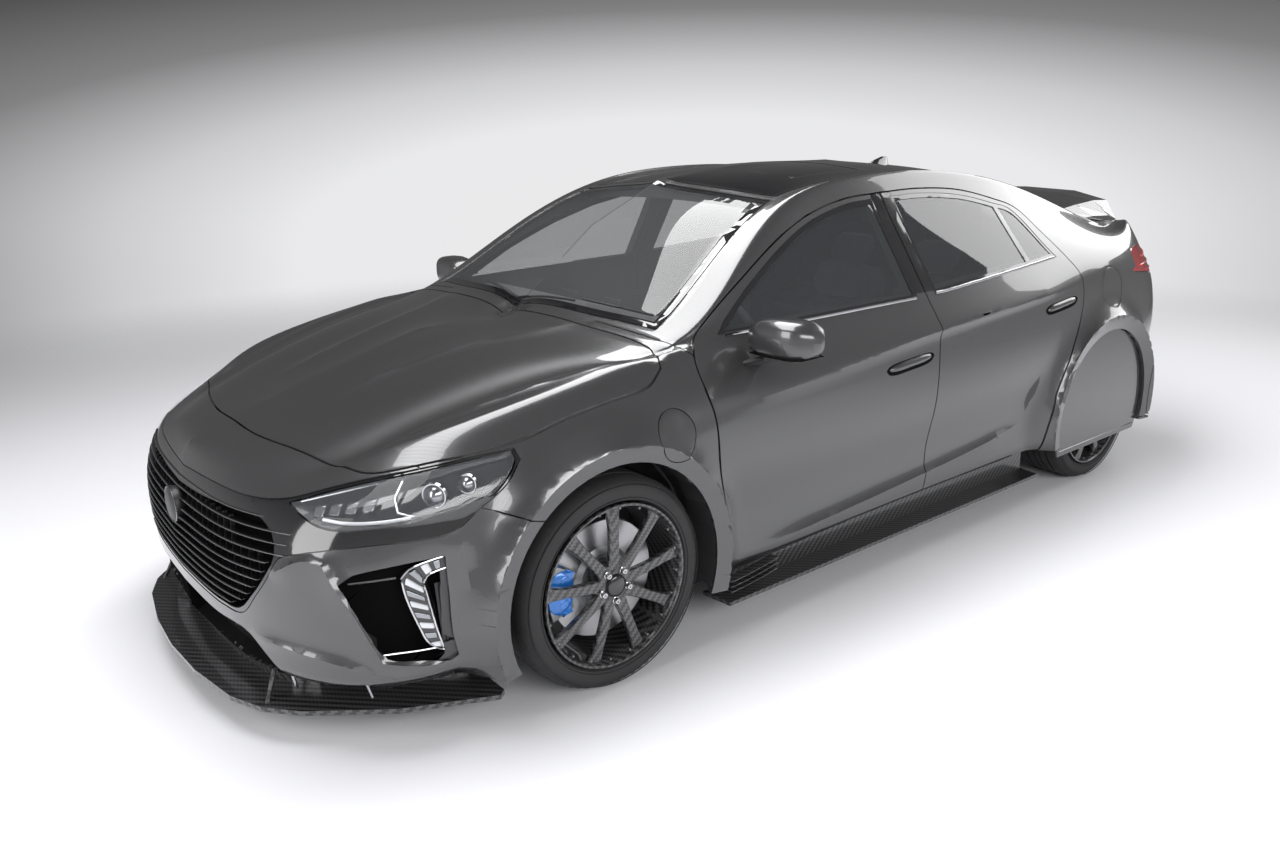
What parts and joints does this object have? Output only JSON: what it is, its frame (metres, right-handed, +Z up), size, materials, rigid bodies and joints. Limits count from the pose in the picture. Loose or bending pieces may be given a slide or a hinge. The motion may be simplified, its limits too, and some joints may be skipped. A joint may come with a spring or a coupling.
{
  "type": "car",
  "caption": "Low wide-bodied five-door liftback car with a carbon splitter, flared arches, covered rear wheels, opening doors, hood and hatch.",
  "frame": {"origin": "on the ground, under the middle of the car's bounding box", "axes": "+X towards the nose, +Y to the car's left, +Z up"},
  "size_m": [4.5854, 2.2006, 1.406],
  "materials": {
    "paint": "dark graphite metallic paint, glossy",
    "gloss_black": "gloss black",
    "carbon": "lacquered woven carbon fibre",
    "glass": "grey tinted glass",
    "rubber": "black tyre rubber",
    "trim": "matt black plastic",
    "lamp": "clear lamp lens",
    "red_lamp": "red lamp lens",
    "steel": "bare machined metal",
    "cloth": "dark seat cloth"
  },
  "bodies": {
    "body": {"body_shell": "paint", "roof_panel": "gloss_black", "windshield": "glass", "front_fender_left": "paint", "front_fender_right": "paint", "front_bumper": "paint", "grille": "gloss_black", "front_splitter": "carbon", "headlamp_left": "lamp", "headlamp_right": "lamp", "rear_bumper": "gloss_black", "tail_lamp_left": "red_lamp", "tail_lamp_right": "red_lamp", "side_skirt_left": "carbon", "side_skirt_right": "carbon", "dashboard": "trim", "front_seat_left": "cloth", "front_seat_right": "cloth", "rear_seat": "cloth", "engine_block": "steel", "front_subframe": "steel", "rear_axle": "steel", "rear_wheel_cover_left": "gloss_black", "rear_wheel_cover_right": "gloss_black"},
    "hood": {"hood": "paint"},
    "hatch": {"hatch": "paint", "hatch_glass": "glass", "spoiler": "paint"},
    "front_door_left": {"front_door_left": "paint", "front_door_glass_left": "glass", "mirror_left": "paint"},
    "rear_door_left": {"rear_door_left": "paint", "rear_door_glass_left": "glass"},
    "knuckle_left": {"knuckle_left": "steel"},
    "front_wheel_left": {"front_tyre_left": "rubber", "front_rim_left": "carbon"},
    "rear_wheel_left": {"rear_tyre_left": "rubber", "rear_rim_left": "carbon"},
    "front_door_right": {"front_door_right": "paint", "front_door_glass_right": "glass", "mirror_right": "paint"},
    "rear_door_right": {"rear_door_right": "paint", "rear_door_glass_right": "glass"},
    "knuckle_right": {"knuckle_right": "steel"},
    "front_wheel_right": {"front_tyre_right": "rubber", "front_rim_right": "carbon"},
    "rear_wheel_right": {"rear_tyre_right": "rubber", "rear_rim_right": "carbon"}
  },
  "joints": [
    {"name": "hood_hinge", "type": "hinge", "parent": "body", "child": "hood", "pos_m": [1.0266, 0, 0.98994], "axis": [0, -1, 0], "range_deg": [0, 50]},
    {"name": "hatch_hinge", "type": "hinge", "parent": "body", "child": "hatch", "pos_m": [-1.00845, 0, 1.36206], "axis": [0, 1, 0], "range_deg": [0, 70]},
    {"name": "front_door_left_hinge", "type": "hinge", "parent": "body", "child": "front_door_left", "pos_m": [0.93149, 0.92497, 0.60004], "axis": [0, 0, -1], "range_deg": [0, 62]},
    {"name": "rear_door_left_hinge", "type": "hinge", "parent": "body", "child": "rear_door_left", "pos_m": [-0.15357, 0.92497, 0.60004], "axis": [0, 0, -1], "range_deg": [0, 62]},
    {"name": "steer_left", "type": "hinge", "parent": "body", "child": "knuckle_left", "pos_m": [1.30649, 0.74, 0.318], "axis": [0, 0, 1], "range_deg": [-30, 30]},
    {"name": "front_wheel_left_spin", "type": "hinge", "parent": "knuckle_left", "child": "front_wheel_left", "pos_m": [1.30649, 0.7875, 0.318], "axis": [0, 1, 0], "continuous": true},
    {"name": "rear_wheel_left_spin", "type": "hinge", "parent": "body", "child": "rear_wheel_left", "pos_m": [-1.39351, 0.7875, 0.318], "axis": [0, 1, 0], "continuous": true},
    {"name": "front_door_right_hinge", "type": "hinge", "parent": "body", "child": "front_door_right", "pos_m": [0.93149, -0.92497, 0.60004], "axis": [0, 0, 1], "range_deg": [0, 62]},
    {"name": "rear_door_right_hinge", "type": "hinge", "parent": "body", "child": "rear_door_right", "pos_m": [-0.15357, -0.92497, 0.60004], "axis": [0, 0, 1], "range_deg": [0, 62]},
    {"name": "steer_right", "type": "hinge", "parent": "body", "child": "knuckle_right", "pos_m": [1.30649, -0.74, 0.318], "axis": [0, 0, 1], "range_deg": [-30, 30]},
    {"name": "front_wheel_right_spin", "type": "hinge", "parent": "knuckle_right", "child": "front_wheel_right", "pos_m": [1.30649, -0.7875, 0.318], "axis": [0, 1, 0], "continuous": true},
    {"name": "rear_wheel_right_spin", "type": "hinge", "parent": "body", "child": "rear_wheel_right", "pos_m": [-1.39351, -0.7875, 0.318], "axis": [0, 1, 0], "continuous": true}
  ],
  "couplings": [
    {"joint": "steer_right", "follows": "steer_left", "ratio": 1}
  ]
}
